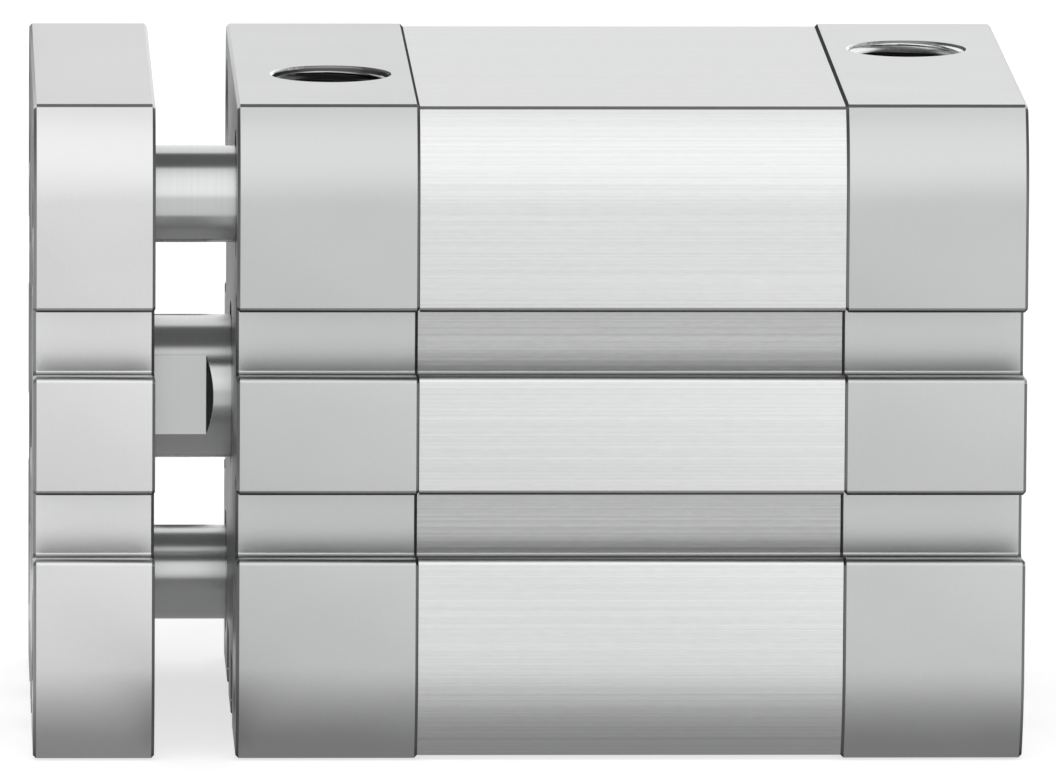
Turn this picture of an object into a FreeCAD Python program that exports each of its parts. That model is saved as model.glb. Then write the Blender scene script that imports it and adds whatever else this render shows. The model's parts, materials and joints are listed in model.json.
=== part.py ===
import FreeCAD, Part
import math
import os

from FreeCAD import Vector

# Guided compact pneumatic cylinder, retracted, in millimetres.
# X runs along the piston rod towards the yoke, Z points up at the air ports.
# The origin is the centre of the rear mounting face.

# Driving sizes of the whole cylinder
stroke = 20.0
bore = 40.0
slot_web = 1.8
cover_length = 15.0
yoke_length = 10.0
yoke_gap = 6.7
barrel_inset = 0.2
corner_inset = 8.25
edge_break = 0.25

# Outer section: flat top and bottom, side walls that curve in near both
edge_drop = 2.4
edge_slope = math.radians(32.4)

# Sensor slots, two in each side wall and two below
slot_pitch = 15.2
slot_mouth = 5.4
slot_break = 0.42
slot_undercut = 0.7
slot_lip = 1.5
slot_depth = 5.45
slot_floor_round = 0.5

# Air ports, G1/8, in the top face of each cover
port_diameter = 9.728
port_chamfer = 0.2
port_depth = 9.0
port_inset = 8.1
front_port_offset = 6.5
rear_port_offset = -9.1
air_drill = 4.2
air_passage = 3.6
air_passage_depth = 5.5
air_drill_overrun = 0.6

# Spigots, static seals and bumpers on the inner faces of the covers
spigot_length = 2.0
spigot_clearance = 0.05
seal_section = 1.0
seal_clearance = 0.05
bumper_inner = 18.0
bumper_outer = 26.0
bumper_seat = 1.5
bumper_stand = 0.5
bumper_clearance = 0.1
centring_diameter = 12.0
centring_depth = 2.1

# Cover screws, M5: socket heads in front, heads with an M6 thread inside at the rear
screw_thread = 5.0
screw_head = 8.4
screw_head_clearance = 0.2
screw_head_length = 5.0
screw_socket = 4.0
screw_seat_depth = 10.0
screw_engagement = 11.0
mounting_thread = 6.0
mounting_thread_depth = 8.0
screw_hole_clearance = 0.2
spotface_diameter = 12.2
spotface_depth = 1.0

# Piston rod and the parts that guide and seal it
rod_diameter = 12.0
rod_flats = 10.0
rod_flats_length = 4.56
rod_flats_runout = 0.6
rod_spigot = 8.0
rod_thread = 8.0
rod_thread_depth = 14.0
running_clearance = 0.05
bush_wall = 1.0
bush_front_gap = 0.2
bush_seat_clearance = 0.02
wiper_mouth = 13.8
wiper_lip_wall = 1.8
wiper_groove = 18.4
wiper_groove_length = 4.0
wiper_clearance = 0.1
wiper_lip_length = 0.7

# Guide rods
guide_diameter = 8.0
guide_end_chamfer = 0.5
guide_hole = 8.8
guide_hole_margin = 2.0
guide_bush_wall = 1.0
guide_wiper_length = 1.6
guide_wiper_recess = 1.9
guide_thread = 5.0
guide_thread_depth = 12.0

# Piston and what sits on it
piston_length = 10.0
piston_clearance = 0.3
piston_land = 0.6
piston_seal_length = 2.4
piston_band_length = 3.2
piston_groove_depth = 3.2
piston_lip_length = 0.8
piston_lip_root = 1.4
sliding_clearance = 0.08
ring_clearance = 0.1
magnet_radial = 1.9
piston_bore_clearance = 0.1
piston_screw_head = 11.0
piston_screw_head_length = 2.8
piston_screw_seat = 12.0
piston_screw_seat_depth = 3.2
piston_screw_thread = 5.0
piston_screw_length = 10.0
rod_seal_section = 1.0

# Yoke plate, its screws and its payload holes
payload_pitch = 24.0
payload_thread = 5.0
yoke_screw_head = 13.0
yoke_screw_head_length = 5.0
yoke_screw_socket = 6.0
yoke_screw_length = 16.0
yoke_seat_diameter = 16.5
yoke_seat_depth = 5.4
yoke_hole = 9.0
guide_screw_head = 8.5
guide_screw_head_length = 3.5
guide_screw_socket = 3.0
guide_screw_length = 16.0
guide_seat_diameter = 9.3
guide_seat_depth = 4.0
guide_screw_hole = 5.5
socket_share = 0.6
thread_clearance = 0.05
mouth_chamfer = 0.3

# Stations along X and half sizes that follow from the sizes above
bore_radius = bore / 2
half = bore_radius + slot_web + slot_depth
corner = half - corner_inset
barrel_length = stroke + piston_length + 2 * (spigot_length + bumper_stand)
barrel_back = cover_length
barrel_front = barrel_back + barrel_length
front_face = barrel_front + cover_length
yoke_back = front_face + yoke_gap
yoke_front = yoke_back + yoke_length
piston_back = barrel_back + spigot_length + bumper_stand
piston_front = piston_back + piston_length
rod_radius = rod_diameter / 2
guide_radius = guide_diameter / 2
guide_end = barrel_front - stroke
guide_wiper_front = front_face - guide_wiper_recess
guide_wiper_back = guide_wiper_front - guide_wiper_length
wiper_groove_front = front_face - wiper_lip_wall
wiper_groove_back = wiper_groove_front - wiper_groove_length
spigot_radius = bore_radius - spigot_clearance
seal_chamfer = seal_section / 2 * (2 + math.sqrt(2)) + 2 * seal_clearance
guide_places = [(corner, corner), (-corner, -corner)]
screw_places = [(corner, -corner), (-corner, corner)]
all_corners = guide_places + screw_places


def cylinder(x0, x1, radius, y=0.0, z=0.0):
    return Part.makeCylinder(radius, x1 - x0, Vector(x0, y, z), Vector(1, 0, 0))


def cone(x0, x1, radius0, radius1, y=0.0, z=0.0):
    return Part.makeCone(radius0, radius1, x1 - x0, Vector(x0, y, z), Vector(1, 0, 0))


def mouth(x, radius, size, inward, y=0.0, z=0.0):
    # A chamfer cut round a hole that opens at x and runs on in the inward direction
    deep = x + inward * size
    if inward > 0:
        return cone(x, deep, radius + size, radius, y, z)
    return cone(deep, x, radius, radius + size, y, z)


def turned(outline, y=0.0, z=0.0):
    # A solid turned about X from a closed outline of (x, radius) points
    points = [Vector(x, 0, r) for x, r in outline]
    wire = Part.makePolygon(points + points[:1])
    solid = Part.Face(wire).revolve(Vector(0, 0, 0), Vector(1, 0, 0), 360)
    solid.translate(Vector(0, y, z))
    return solid


def ring(x0, x1, inner, outer, y=0.0, z=0.0):
    return turned([(x0, inner), (x1, inner), (x1, outer), (x0, outer)], y, z)


def o_ring(x, radius, section):
    # A cord ring whose section is a hexagon that lies within the cord's circle
    angles = [math.pi / 6 + math.pi / 3 * i for i in range(6)]
    return turned([(x + section / 2 * math.cos(a), radius + section / 2 * math.sin(a)) for a in angles])


def hexagon(x0, x1, across_flats, y=0.0, z=0.0):
    across_corners = across_flats / math.cos(math.pi / 6)
    angles = [math.pi / 3 * i for i in range(6)]
    reach = across_corners / 2
    points = [Vector(x0, y + reach * math.cos(a), z + reach * math.sin(a)) for a in angles]
    face = Part.Face(Part.makePolygon(points + points[:1]))
    return face.extrude(Vector(x1 - x0, 0, 0))


def fuse(first, *others):
    return first.fuse(list(others)).removeSplitter()


def cut(first, *others):
    return first.cut(list(others))


def save(name, *solids):
    shape = solids[0] if len(solids) == 1 else Part.makeCompound(list(solids))
    shape.exportStep("parts/" + name + ".step")


def rounded_wire(x, corners):
    # A closed wire in the plane at x through (y, z, radius) corners, each rounded by its radius
    arcs = []
    for i, (y, z, radius) in enumerate(corners):
        here = Vector(x, y, z)
        back = (Vector(x, corners[i - 1][0], corners[i - 1][1]) - here).normalize()
        following = corners[(i + 1) % len(corners)]
        ahead = (Vector(x, following[0], following[1]) - here).normalize()
        half_angle = back.getAngle(ahead) / 2
        run = radius / math.tan(half_angle)
        rise = radius / math.sin(half_angle) - radius
        middle = here + (back + ahead).normalize() * rise
        arcs.append((here + back * run, middle, here + ahead * run))
    edges = []
    for i, (start, middle, end) in enumerate(arcs):
        if (end - start).Length > Part.Precision.confusion():
            edges.append(Part.Arc(start, middle, end).toShape())
        onward = arcs[(i + 1) % len(arcs)][0]
        if (onward - end).Length > Part.Precision.confusion():
            edges.append(Part.LineSegment(end, onward).toShape())
    return Part.Wire(edges)


def slot_row(skin, normal, travel):
    # Corners of the two sensor slots met on the way along one side of the section.
    # The slot floor keeps its place when the skin is lower, so all bodies share one slot.
    side = slot_mouth / 2
    shape = [
        (-side - slot_break, skin, 0),
        (-side, skin - slot_break, 0),
        (-side, half - slot_lip, 0),
        (-side - slot_undercut, half - slot_lip, 0),
        (-side - slot_undercut, half - slot_depth, slot_floor_round),
    ]
    shape += [(-along, level, radius) for along, level, radius in reversed(shape)]
    corners = []
    for centre in (-slot_pitch / 2, slot_pitch / 2):
        for along, level, radius in shape:
            y = normal[0] * level + travel[0] * (centre + along)
            z = normal[1] * level + travel[1] * (centre + along)
            corners.append((y, z, radius))
    return corners


def section(x, skin):
    # The side wall leaves its flat on an arc, and a small break joins it to the top and bottom
    top = skin - edge_drop
    bend = skin - edge_drop / math.tan(edge_slope)
    break_y = top + edge_break * math.sin(edge_slope)
    break_z = skin - edge_break * math.cos(edge_slope)
    arc_run = edge_drop / math.sin(edge_slope) - edge_break
    side_radius = arc_run / math.tan(edge_slope / 2)
    upper_edge = [(top - edge_break, skin, 0), (break_y, break_z, 0), (skin, bend, side_radius)]
    lower_edge = [(y, -z, radius) for y, z, radius in reversed(upper_edge)]
    corners = upper_edge + slot_row(skin, (1, 0), (0, -1)) + lower_edge
    corners += slot_row(skin, (0, -1), (-1, 0))
    corners += [(-y, z, radius) for y, z, radius in reversed(lower_edge)]
    corners += slot_row(skin, (-1, 0), (0, 1))
    corners += [(-y, z, radius) for y, z, radius in reversed(upper_edge)]
    return Part.Face(rounded_wire(x, corners))


def profile_bar(x0, x1, skin):
    return section(x0, skin).extrude(Vector(x1 - x0, 0, 0))


def chamfered_bar(x0, x1, skin):
    # A length of the profile with the outline of both ends broken like its long edges, slots included
    bar = profile_bar(x0, x1, skin)
    ends = [edge for edge in bar.Edges if edge.BoundBox.XLength < Part.Precision.confusion()]
    return bar.makeChamfer(edge_break, ends)


def port_cuts(x, y, inner_face):
    # Threaded port from the top, a drill below it and a passage to the inner face of the spigot
    radius = port_diameter / 2
    down = Vector(0, 0, -1)
    thread = Part.makeCylinder(radius, port_depth, Vector(x, y, half), down)
    lead = Part.makeCone(radius + port_chamfer, radius, port_chamfer, Vector(x, y, half), down)
    passage_height = bore_radius - air_passage_depth
    drill_end = passage_height - air_passage / 2 - air_drill_overrun
    drill = Part.makeCylinder(air_drill / 2, half - drill_end, Vector(x, y, half), down)
    passage = cylinder(min(x, inner_face), max(x, inner_face), air_passage / 2, y, passage_height)
    return [thread, lead, drill, passage]


def screw_seat(face, inner, inward, y, z):
    # Counterbore for a screw head and the clearance hole for its shank
    floor = face + inward * screw_seat_depth
    head_radius = screw_head / 2 + screw_head_clearance
    hole_radius = (screw_thread + screw_hole_clearance) / 2
    low, high = min(face, floor), max(face, floor)
    head = cylinder(low, high, head_radius, y, z)
    hole = cylinder(min(floor, inner), max(floor, inner), hole_radius, y, z)
    return [head, hole, mouth(face, head_radius, mouth_chamfer, inward, y, z)]


def rear_cover_screw(y, z):
    # A long head, flush with the rear face and threaded inside, on a shank that grips the barrel
    head = cylinder(0, screw_seat_depth, screw_head / 2, y, z)
    shank = cylinder(screw_seat_depth, cover_length + screw_engagement, screw_thread / 2, y, z)
    return cut(fuse(head, shank), cylinder(0, mounting_thread_depth, mounting_thread / 2, y, z))


def cap_screw(seat, head_radius, head_length, socket, length, shank_radius, y=0.0, z=0.0):
    # A cap screw whose head stands on its seat in +X and whose shank runs back
    head = cylinder(seat, seat + head_length, head_radius, y, z)
    shank = cylinder(seat - length, seat, shank_radius, y, z)
    recess = hexagon(seat + head_length * (1 - socket_share), seat + head_length, socket, y, z)
    return cut(fuse(head, shank), recess)


def barrel():
    body = profile_bar(barrel_back, barrel_front, half - barrel_inset)
    cuts = [cylinder(barrel_back, barrel_front, bore_radius)]
    cuts.append(mouth(barrel_back, bore_radius, seal_chamfer, 1))
    cuts.append(mouth(barrel_front, bore_radius, seal_chamfer, -1))
    for y, z in all_corners:
        cuts.append(cylinder(barrel_back, barrel_front, (screw_thread + screw_hole_clearance) / 2, y, z))
    for y, z in guide_places:
        cuts.append(cylinder(guide_end - guide_hole_margin, barrel_front, guide_hole / 2, y, z))
    return cut(body, *cuts)


def bumper_groove(face, inward):
    # Annular seat for a bumper in the inner face of a spigot
    floor = face + inward * bumper_seat
    inner = bumper_inner / 2 - bumper_clearance
    outer = bumper_outer / 2 + bumper_clearance
    return ring(min(face, floor), max(face, floor), inner, outer)


def rear_cover():
    inner_face = barrel_back + spigot_length
    body = fuse(chamfered_bar(0, cover_length, half), cylinder(cover_length, inner_face, spigot_radius))
    cuts = port_cuts(port_inset, rear_port_offset, inner_face)
    cuts.append(bumper_groove(inner_face, -1))
    cuts.append(cylinder(0, centring_depth, centring_diameter / 2))
    for y, z in all_corners:
        cuts += screw_seat(0, cover_length, 1, y, z)
    return cut(body, *cuts)


def front_cover():
    inner_face = barrel_front - spigot_length
    spigot = cylinder(inner_face, barrel_front, spigot_radius)
    body = fuse(chamfered_bar(barrel_front, front_face, half), spigot)
    cuts = port_cuts(front_face - port_inset, front_port_offset, inner_face)
    cuts.append(bumper_groove(inner_face, 1))
    cuts.append(cylinder(inner_face, wiper_groove_front, rod_radius + running_clearance + bush_wall))
    cuts.append(cylinder(wiper_groove_back, wiper_groove_front, wiper_groove / 2))
    cuts.append(cylinder(wiper_groove_front, front_face, wiper_mouth / 2))
    cuts.append(mouth(front_face, wiper_mouth / 2, mouth_chamfer, -1))
    guide_seat = guide_radius + running_clearance + guide_bush_wall
    for y, z in guide_places:
        cuts.append(cylinder(barrel_front, front_face, guide_seat, y, z))
        cuts.append(mouth(front_face, guide_seat, mouth_chamfer, -1, y, z))
    for y, z in screw_places:
        cuts += screw_seat(front_face, barrel_front, -1, y, z)
        cuts.append(cylinder(front_face - spotface_depth, front_face, spotface_diameter / 2, y, z))
    return cut(body, *cuts)


def rod_bush():
    inner = rod_radius + running_clearance
    outer = inner + bush_wall - bush_seat_clearance
    return ring(barrel_front - spigot_length, wiper_groove_back - bush_front_gap, inner, outer)


def rod_wiper():
    # A seal ring held in its groove, with a thin lip on the rod at each end
    front = wiper_groove_front - wiper_clearance
    back = wiper_groove_back + wiper_clearance
    lip = rod_radius + running_clearance
    root = wiper_mouth / 2
    outer = wiper_groove / 2 - wiper_clearance
    profile = [(back, lip), (back + wiper_lip_length, lip), (back + 2 * wiper_lip_length, root)]
    profile += [(front - 2 * wiper_lip_length, root), (front - wiper_lip_length, lip), (front, lip)]
    profile += [(front, outer), (back, outer)]
    return turned(profile)


def guide_bush(y, z):
    inner = guide_radius + running_clearance
    outer = inner + guide_bush_wall - bush_seat_clearance
    return ring(barrel_front, guide_wiper_back, inner, outer, y, z)


def guide_wiper(y, z):
    # A thin scraper ring in front of the bush, its lip leaning forward onto the rod
    back = guide_wiper_back
    front = guide_wiper_front
    lip = guide_radius + running_clearance
    outer = lip + guide_bush_wall - wiper_clearance
    middle = (lip + outer) / 2
    return turned([(back, middle), (front, lip), (front, outer), (back, outer)], y, z)


def bumper(floor, inward):
    # A rubber ring that stands out of its seat towards the piston
    top = floor + inward * (bumper_seat + bumper_stand - bumper_clearance / 2)
    return ring(min(floor, top), max(floor, top), bumper_inner / 2, bumper_outer / 2)


def static_seal(corner_x, inward):
    # An O-ring in the corner between the spigot, the cover and the chamfer of the bore
    radius = spigot_radius + seal_clearance + seal_section / 2
    return o_ring(corner_x + inward * (seal_clearance + seal_section / 2), radius, seal_section)


# Grooves along the piston, from its back: seal, guide band over magnet, seal
land = (piston_length - 2 * piston_land - 2 * piston_seal_length - piston_band_length) / 2
rear_groove = piston_back + piston_land
band_groove = rear_groove + piston_seal_length + land
front_groove = band_groove + piston_band_length + land
piston_radius = bore_radius - piston_clearance
groove_radius = piston_radius - piston_groove_depth
wall_radius = bore_radius - sliding_clearance
magnet_radius = groove_radius + magnet_radial
spigot_end = piston_back + piston_screw_seat_depth
rod_seal_x = (spigot_end + piston_front) / 2
piston_bore = rod_spigot / 2 + piston_bore_clearance


def piston():
    body = ring(piston_back, piston_front, piston_bore, piston_radius)
    cuts = [cylinder(piston_back, spigot_end, piston_screw_seat / 2)]
    for start, length in (
        (rear_groove, piston_seal_length),
        (band_groove, piston_band_length),
        (front_groove, piston_seal_length),
    ):
        cuts.append(ring(start, start + length, groove_radius, bore_radius))
    seat = rod_seal_section + 2 * ring_clearance
    seat_radius = piston_bore + rod_seal_section + ring_clearance
    cuts.append(ring(rod_seal_x - seat / 2, rod_seal_x + seat / 2, piston_bore / 2, seat_radius))
    return cut(body, *cuts)


def piston_seal(start, pressure_side):
    # A lip seal: a broad heel on the groove floor and a lip that flares towards the pressure
    heel = start + ring_clearance if pressure_side > 0 else start + piston_seal_length - ring_clearance
    tip = heel + pressure_side * (piston_seal_length - 2 * ring_clearance)
    lip_start = tip - pressure_side * piston_lip_length
    floor = groove_radius + ring_clearance
    shoulder = piston_radius
    profile = [(heel, floor), (tip, floor), (tip, floor + piston_lip_root / 2)]
    profile += [(lip_start, floor + piston_lip_root), (tip, wall_radius - piston_lip_root / 2)]
    profile += [(tip, wall_radius), (lip_start, wall_radius), (heel, shoulder)]
    return turned(profile)


def piston_rod():
    body = fuse(
        cylinder(piston_front, yoke_back, rod_radius),
        cylinder(spigot_end + ring_clearance, piston_front, rod_spigot / 2),
    )
    cuts = [cylinder(yoke_back - rod_thread_depth, yoke_back, rod_thread / 2)]
    thread_end = spigot_end + piston_screw_length
    cuts.append(cylinder(spigot_end, thread_end, piston_screw_thread / 2))
    flat_end = yoke_back - rod_flats_length
    for side in (1, -1):
        # Each spanner flat is milled from the yoke back and runs out on a slope
        run = [
            Vector(yoke_back, side * rod_flats / 2, -rod_radius),
            Vector(flat_end, side * rod_flats / 2, -rod_radius),
            Vector(flat_end - rod_flats_runout, side * rod_radius, -rod_radius),
            Vector(yoke_back, side * rod_radius, -rod_radius),
        ]
        cuts.append(Part.Face(Part.makePolygon(run + run[:1])).extrude(Vector(0, 0, rod_diameter)))
    return cut(body, *cuts)


def piston_screw():
    head = cylinder(spigot_end - piston_screw_head_length, spigot_end, piston_screw_head / 2)
    radius = piston_screw_thread / 2 - thread_clearance
    shank = cylinder(spigot_end, spigot_end + piston_screw_length, radius)
    return fuse(head, shank)


def yoke_plate():
    body = chamfered_bar(yoke_back, yoke_front, half)
    cuts = [cylinder(yoke_back, yoke_front, yoke_hole / 2)]
    cuts.append(cylinder(yoke_front - yoke_seat_depth, yoke_front, yoke_seat_diameter / 2))
    cuts.append(mouth(yoke_front, yoke_seat_diameter / 2, mouth_chamfer, -1))
    for y, z in guide_places:
        cuts.append(cylinder(yoke_back, yoke_front, guide_screw_hole / 2, y, z))
        cuts.append(cylinder(yoke_front - guide_seat_depth, yoke_front, guide_seat_diameter / 2, y, z))
    for y, z in screw_places:
        cuts.append(cylinder(yoke_back, yoke_front, guide_seat_diameter / 2, y, z))
        cuts.append(mouth(yoke_back, guide_seat_diameter / 2, mouth_chamfer, 1, y, z))
    for y, z in all_corners:
        cuts.append(mouth(yoke_front, guide_seat_diameter / 2, mouth_chamfer, -1, y, z))
    for y in (-payload_pitch / 2, payload_pitch / 2):
        for z in (-payload_pitch / 2, payload_pitch / 2):
            cuts.append(cylinder(yoke_back, yoke_front, payload_thread / 2, y, z))
            cuts.append(mouth(yoke_front, payload_thread / 2, mouth_chamfer, -1, y, z))
    return cut(body, *cuts)


def guide_rod(y, z):
    nose_end = guide_end + guide_end_chamfer
    body = cylinder(nose_end, yoke_back, guide_radius, y, z)
    nose = cone(guide_end, nose_end, guide_radius - guide_end_chamfer, guide_radius, y, z)
    thread = cylinder(yoke_back - guide_thread_depth, yoke_back, guide_thread / 2, y, z)
    return cut(fuse(body, nose), thread)


os.makedirs("parts", exist_ok=True)

save("barrel", barrel())
save("front_cover", front_cover())
save("rear_cover", rear_cover())
front_screws = []
for y, z in screw_places:
    front_screws.append(cap_screw(
        front_face - screw_seat_depth,
        screw_head / 2,
        screw_head_length,
        screw_socket,
        cover_length - screw_seat_depth + screw_engagement,
        screw_thread / 2,
        y,
        z,
    ))
save("front_cover_screws", *front_screws)
save("rear_cover_screws", *[rear_cover_screw(y, z) for y, z in all_corners])
save("rear_static_seal", static_seal(barrel_back, 1))
save("front_static_seal", static_seal(barrel_front, -1))
save("rear_bumper", bumper(barrel_back + spigot_length - bumper_seat, 1))
save("front_bumper", bumper(barrel_front - spigot_length + bumper_seat, -1))
save("rod_bush", rod_bush())
save("rod_wiper", rod_wiper())

save("piston", piston())
save("piston_magnet", ring(
    band_groove + ring_clearance,
    band_groove + piston_band_length - ring_clearance,
    groove_radius + ring_clearance,
    magnet_radius,
))
save("piston_guide_band", ring(
    band_groove + ring_clearance,
    band_groove + piston_band_length - ring_clearance,
    magnet_radius + ring_clearance,
    wall_radius,
))
save("rear_piston_seal", piston_seal(rear_groove, -1))
save("front_piston_seal", piston_seal(front_groove, 1))
save("piston_rod", piston_rod())
save("rod_o_ring", o_ring(rod_seal_x, piston_bore + rod_seal_section / 2, rod_seal_section))
save("piston_screw", piston_screw())

save("yoke_plate", yoke_plate())
save("yoke_screw", cap_screw(
    yoke_front - yoke_seat_depth,
    yoke_screw_head / 2,
    yoke_screw_head_length,
    yoke_screw_socket,
    yoke_screw_length,
    rod_thread / 2 - thread_clearance,
))
for name, (y, z) in zip(("upper", "lower"), guide_places):
    save(name + "_guide_rod", guide_rod(y, z))
    save(name + "_guide_bush", guide_bush(y, z))
    save(name + "_guide_wiper", guide_wiper(y, z))
guide_screws = []
for y, z in guide_places:
    guide_screws.append(cap_screw(
        yoke_front - guide_seat_depth,
        guide_screw_head / 2,
        guide_screw_head_length,
        guide_screw_socket,
        guide_screw_length,
        guide_thread / 2 - thread_clearance,
        y,
        z,
    ))
save("guide_rod_screws", *guide_screws)
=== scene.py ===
import json
import math

import bpy
import numpy as np
from mathutils import Matrix, Vector


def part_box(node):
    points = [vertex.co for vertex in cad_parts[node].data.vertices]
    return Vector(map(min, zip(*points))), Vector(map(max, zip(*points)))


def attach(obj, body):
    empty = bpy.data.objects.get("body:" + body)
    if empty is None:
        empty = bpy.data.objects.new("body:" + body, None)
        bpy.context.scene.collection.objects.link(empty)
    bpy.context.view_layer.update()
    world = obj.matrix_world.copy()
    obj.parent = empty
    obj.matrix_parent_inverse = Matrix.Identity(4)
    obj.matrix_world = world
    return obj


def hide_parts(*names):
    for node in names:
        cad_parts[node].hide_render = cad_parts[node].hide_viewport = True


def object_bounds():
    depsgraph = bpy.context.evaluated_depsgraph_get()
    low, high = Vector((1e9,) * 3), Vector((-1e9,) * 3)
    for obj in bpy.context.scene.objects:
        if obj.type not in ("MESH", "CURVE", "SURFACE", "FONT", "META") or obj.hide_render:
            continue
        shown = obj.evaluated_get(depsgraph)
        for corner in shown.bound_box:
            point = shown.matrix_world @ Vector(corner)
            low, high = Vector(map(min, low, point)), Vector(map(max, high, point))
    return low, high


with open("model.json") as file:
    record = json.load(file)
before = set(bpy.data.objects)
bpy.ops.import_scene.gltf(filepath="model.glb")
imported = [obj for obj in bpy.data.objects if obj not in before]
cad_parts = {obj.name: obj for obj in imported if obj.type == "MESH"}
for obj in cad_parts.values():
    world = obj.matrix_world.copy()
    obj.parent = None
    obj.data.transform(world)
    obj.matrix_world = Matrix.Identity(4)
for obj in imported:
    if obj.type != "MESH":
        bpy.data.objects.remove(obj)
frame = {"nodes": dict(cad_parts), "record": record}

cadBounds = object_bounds()
mm = 0.001
weldStep = 1e-7  # vertices nearer than this are one vertex
print("frame loaded:", len(frame["nodes"]), "nodes")


# Mesh tools

def meshFrom(name, points, triangles, sharpAngle):
    # welds equal points, drops triangles that collapsed, and shades smooth up to sharpAngle degrees
    keys = np.round(points / weldStep).astype(np.int64)
    _, first, same = np.unique(keys, axis=0, return_index=True, return_inverse=True)
    tris = same.reshape(-1)[triangles]
    whole = (tris[:, 0] != tris[:, 1]) & (tris[:, 1] != tris[:, 2]) & (tris[:, 2] != tris[:, 0])
    mesh = bpy.data.meshes.new(name)
    mesh.from_pydata(points[first].tolist(), [], tris[whole].tolist())
    mesh.shade_smooth()
    mesh.set_sharp_from_angle(angle=math.radians(sharpAngle))
    piece = bpy.data.objects.new(name, mesh)
    bpy.context.scene.collection.objects.link(piece)
    return piece


def splitQuads(quads):
    return np.concatenate([quads[:, [0, 1, 2]], quads[:, [0, 2, 3]]])


def roundGrid(rows):
    # a grid of rows whose columns close round: each cell becomes two triangles facing outwards
    count, columns = rows.shape[:2]
    i, j = np.meshgrid(np.arange(count - 1), np.arange(columns), indexing="ij")
    k = (j + 1) % columns
    row, after = i * columns, (i + 1) * columns
    quads = np.stack([row + j, row + k, after + k, after + j], axis=-1)
    return rows.reshape(-1, 3), splitQuads(quads.reshape(-1, 4))


def joined(parts):
    # several (points, triangles) pairs as one pair
    points, triangles, offset = [], [], 0
    for partPoints, partTriangles in parts:
        points.append(partPoints)
        triangles.append(partTriangles + offset)
        offset += len(partPoints)
    return np.concatenate(points), np.concatenate(triangles)


def turnedRows(profile, columns, centre):
    # (x, radius) pairs turned about the line through centre that runs along X
    x, r = np.asarray(profile, float).T
    turn = np.linspace(0, 2 * math.pi, columns, endpoint=False)
    y = centre[0] + r[:, None] * np.cos(turn)
    z = centre[1] + r[:, None] * np.sin(turn)
    return np.stack([np.broadcast_to(x[:, None], y.shape), y, z], axis=-1)


def finishPiece(piece, body, slot, material, *nodes):
    piece.data.materials.clear()
    piece.data.materials.append(material)
    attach(piece, body)
    if nodes:
        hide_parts(*nodes)
    return piece


def mountNamed(name):
    return next(m for m in frame["record"]["mounts"] if m["name"] == name)


# Shader tools

def newMaterial(name):
    material = bpy.data.materials.new(name)
    material.use_nodes = True
    tree = material.node_tree
    return material, tree, tree.nodes["Principled BSDF"]


def addNode(tree, kind, settings=None, inputs=None):
    # settings are the node's own properties, inputs are plain values or sockets to link from
    node = tree.nodes.new(kind)
    for key, value in (settings or {}).items():
        setattr(node, key, value)
    for key, value in (inputs or {}).items():
        if isinstance(value, bpy.types.NodeSocket):
            tree.links.new(value, node.inputs[key])
        else:
            node.inputs[key].default_value = value
    return node


def patternNoise(tree, stretch, detail, rough=0.5):
    # noise on Object coordinates: stretch is how many waves a metre holds along X, Y and Z
    place = addNode(tree, "ShaderNodeTexCoord").outputs["Object"]
    scaled = addNode(tree, "ShaderNodeMapping", {}, {"Vector": place, "Scale": stretch})
    noise = addNode(tree, "ShaderNodeTexNoise", {}, {
        "Vector": scaled.outputs["Vector"], "Scale": 1.0, "Detail": detail, "Roughness": rough})
    return noise.outputs["Fac"]


def spread(tree, value, low, high, fromLow=0.3, fromHigh=0.7):
    # maps the usual range of a noise to low..high
    node = addNode(tree, "ShaderNodeMapRange", {}, {
        "Value": value, "From Min": fromLow, "From Max": fromHigh, "To Min": low, "To Max": high})
    return node.outputs["Result"]


def tinted(tree, value, dark, light, fromLow=0.3, fromHigh=0.7):
    # a colour that runs from dark to light with the value
    share = spread(tree, value, 0.0, 1.0, fromLow, fromHigh)
    ramp = addNode(tree, "ShaderNodeValToRGB", {}, {"Fac": share})
    ramp.color_ramp.elements[0].color = (*dark, 1.0)
    ramp.color_ramp.elements[1].color = (*light, 1.0)
    return ramp.outputs["Color"]


def mixedSum(tree, first, second, share):
    # first + share * second
    total = addNode(tree, "ShaderNodeMath", {"operation": "MULTIPLY_ADD"}, {0: second, 1: share, 2: first})
    return total.outputs[0]


def bumpInto(tree, shader, height, strength, depth):
    bump = addNode(tree, "ShaderNodeBump", {}, {"Height": height, "Strength": strength, "Distance": depth})
    tree.links.new(bump.outputs["Normal"], shader.inputs["Normal"])


def shade(colour, factor):
    return tuple(c * factor for c in colour)


def around(colour, variation):
    # the colour a little darker and a little lighter
    return shade(colour, 1 - variation), shade(colour, 1 + variation)


def grey(level):
    return (level, level, level, 1.0)


def paintedShadeColours(tree, shader, surface, shadedColour, grazing):
    # the face mark attribute mixes from the surface colour to the darker colour as painted shade, and below
    # zero it lightens as a painted highlight; the gloss at grazing angles sinks with it as painted shade,
    # as in a groove
    mark = addNode(tree, "ShaderNodeAttribute", {"attribute_name": "paintedLightMark"}).outputs["Fac"]
    colour = addNode(tree, "ShaderNodeMix", {"data_type": "RGBA", "clamp_factor": False},
                     {0: mark, 6: surface, 7: (*shadedColour, 1.0)})
    tree.links.new(colour.outputs[2], shader.inputs["Base Color"])
    tint = addNode(tree, "ShaderNodeMix", {"data_type": "RGBA"},
                   {0: mark, 6: grey(1.0), 7: grey(grazing)})
    tree.links.new(tint.outputs[2], shader.inputs["Specular Tint"])


# Finishes

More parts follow.
